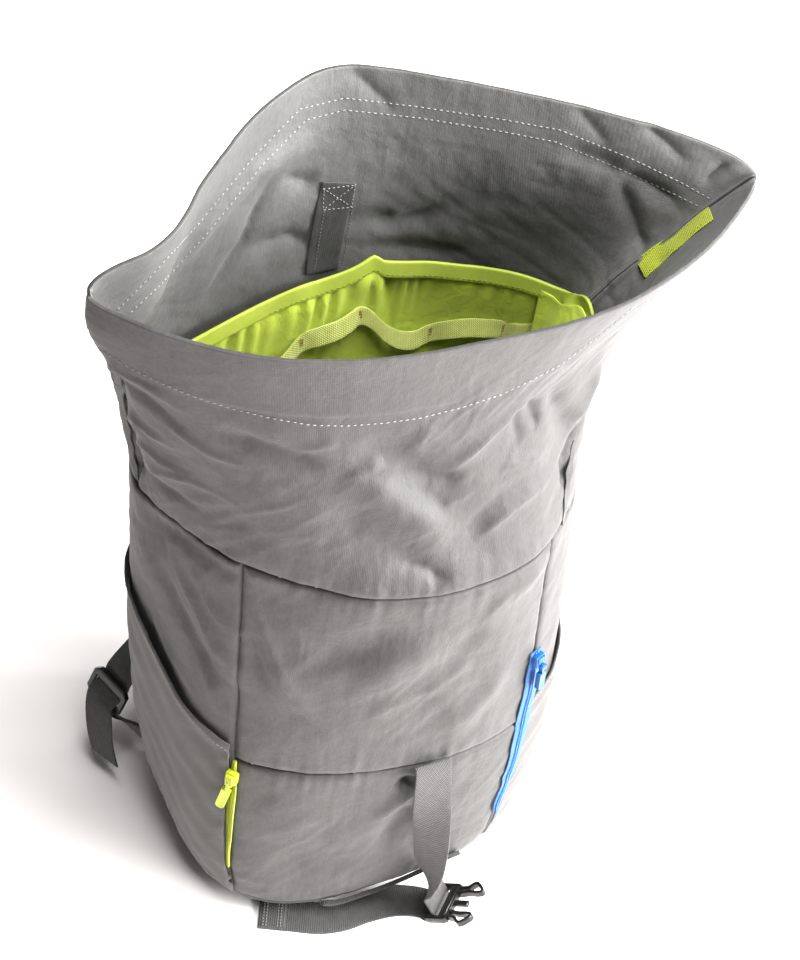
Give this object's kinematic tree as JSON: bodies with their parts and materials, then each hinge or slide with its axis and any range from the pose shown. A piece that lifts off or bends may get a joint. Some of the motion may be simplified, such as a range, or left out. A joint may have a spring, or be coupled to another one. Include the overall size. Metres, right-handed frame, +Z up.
{
  "type": "roll-top backpack",
  "caption": "Soft roll-top backpack standing open with its collar unrolled, stretch side pockets, front seam zips, a closure strap with a buckle half, and an inner sleeve.",
  "frame": {"origin": "a point on the underside of the base, below the middle of the bag, on the surface it stands on", "axes": "+Z up, -Y out of the front with the closure strap, +X to the right as seen from the front"},
  "size_m": [0.3922, 0.2707, 0.5796],
  "materials": {
    "nylon_grey": "crinkled plain-weave nylon with a soft sheen",
    "stretch_grey": "knitted stretch fabric, dull",
    "strap_cover": "spacer mesh over foam",
    "webbing_grey": "ribbed polyester webbing",
    "lime_lining": "thin coated nylon",
    "lime_webbing": "ribbed polyester webbing",
    "lime_zip": "moulded coil and rubber pull",
    "blue_zip": "moulded coil and rubber pull",
    "black_webbing": "thick woven cord webbing",
    "black_plastic": "moulded acetal with a fine texture"
  },
  "bodies": {
    "bag": {"collar_front": "nylon_grey", "collar_back": "nylon_grey", "front_panel": "nylon_grey", "front_pocket_panel": "nylon_grey", "left_side_panel": "nylon_grey", "right_side_panel": "nylon_grey", "back_panel": "nylon_grey", "base_panel": "nylon_grey", "side_pocket_left": "stretch_grey", "side_pocket_right": "stretch_grey", "zip_left": "lime_zip", "zip_left_slider": "lime_zip", "zip_right": "blue_zip", "zip_right_slider": "blue_zip", "front_buckle": "black_plastic", "front_strap": "webbing_grey", "base_loop": "black_webbing", "inner_sleeve": "lime_lining", "inner_webbing_1": "lime_webbing", "inner_webbing_2": "lime_webbing", "inner_webbing_3": "lime_webbing", "inner_webbing_4": "lime_webbing", "inner_webbing_5": "lime_webbing", "inner_anchor_strip": "webbing_grey", "seam_tape": "lime_lining", "back_closure_strap": "webbing_grey", "back_buckle": "black_plastic", "shoulder_strap_left": "strap_cover", "ladder_lock_left": "black_plastic", "strap_webbing_left": "webbing_grey", "strap_wing_left": "nylon_grey", "shoulder_strap_right": "strap_cover", "ladder_lock_right": "black_plastic", "strap_webbing_right": "webbing_grey", "strap_wing_right": "nylon_grey"},
    "pull_left": {"zip_left_pull": "lime_zip"},
    "pull_right": {"zip_right_pull": "blue_zip"}
  },
  "joints": [
    {"name": "left_pull_hinge", "type": "hinge", "parent": "bag", "child": "pull_left", "pos_m": [-0.10406, -0.06987, 0.14864], "axis": [-0.7064, 0.6783, 0.2022], "range_deg": [0, 160]},
    {"name": "right_pull_hinge", "type": "hinge", "parent": "bag", "child": "pull_right", "pos_m": [0.09385, -0.09478, 0.22619], "axis": [-0.877, -0.4791, -0.0382], "range_deg": [0, 160]}
  ]
}
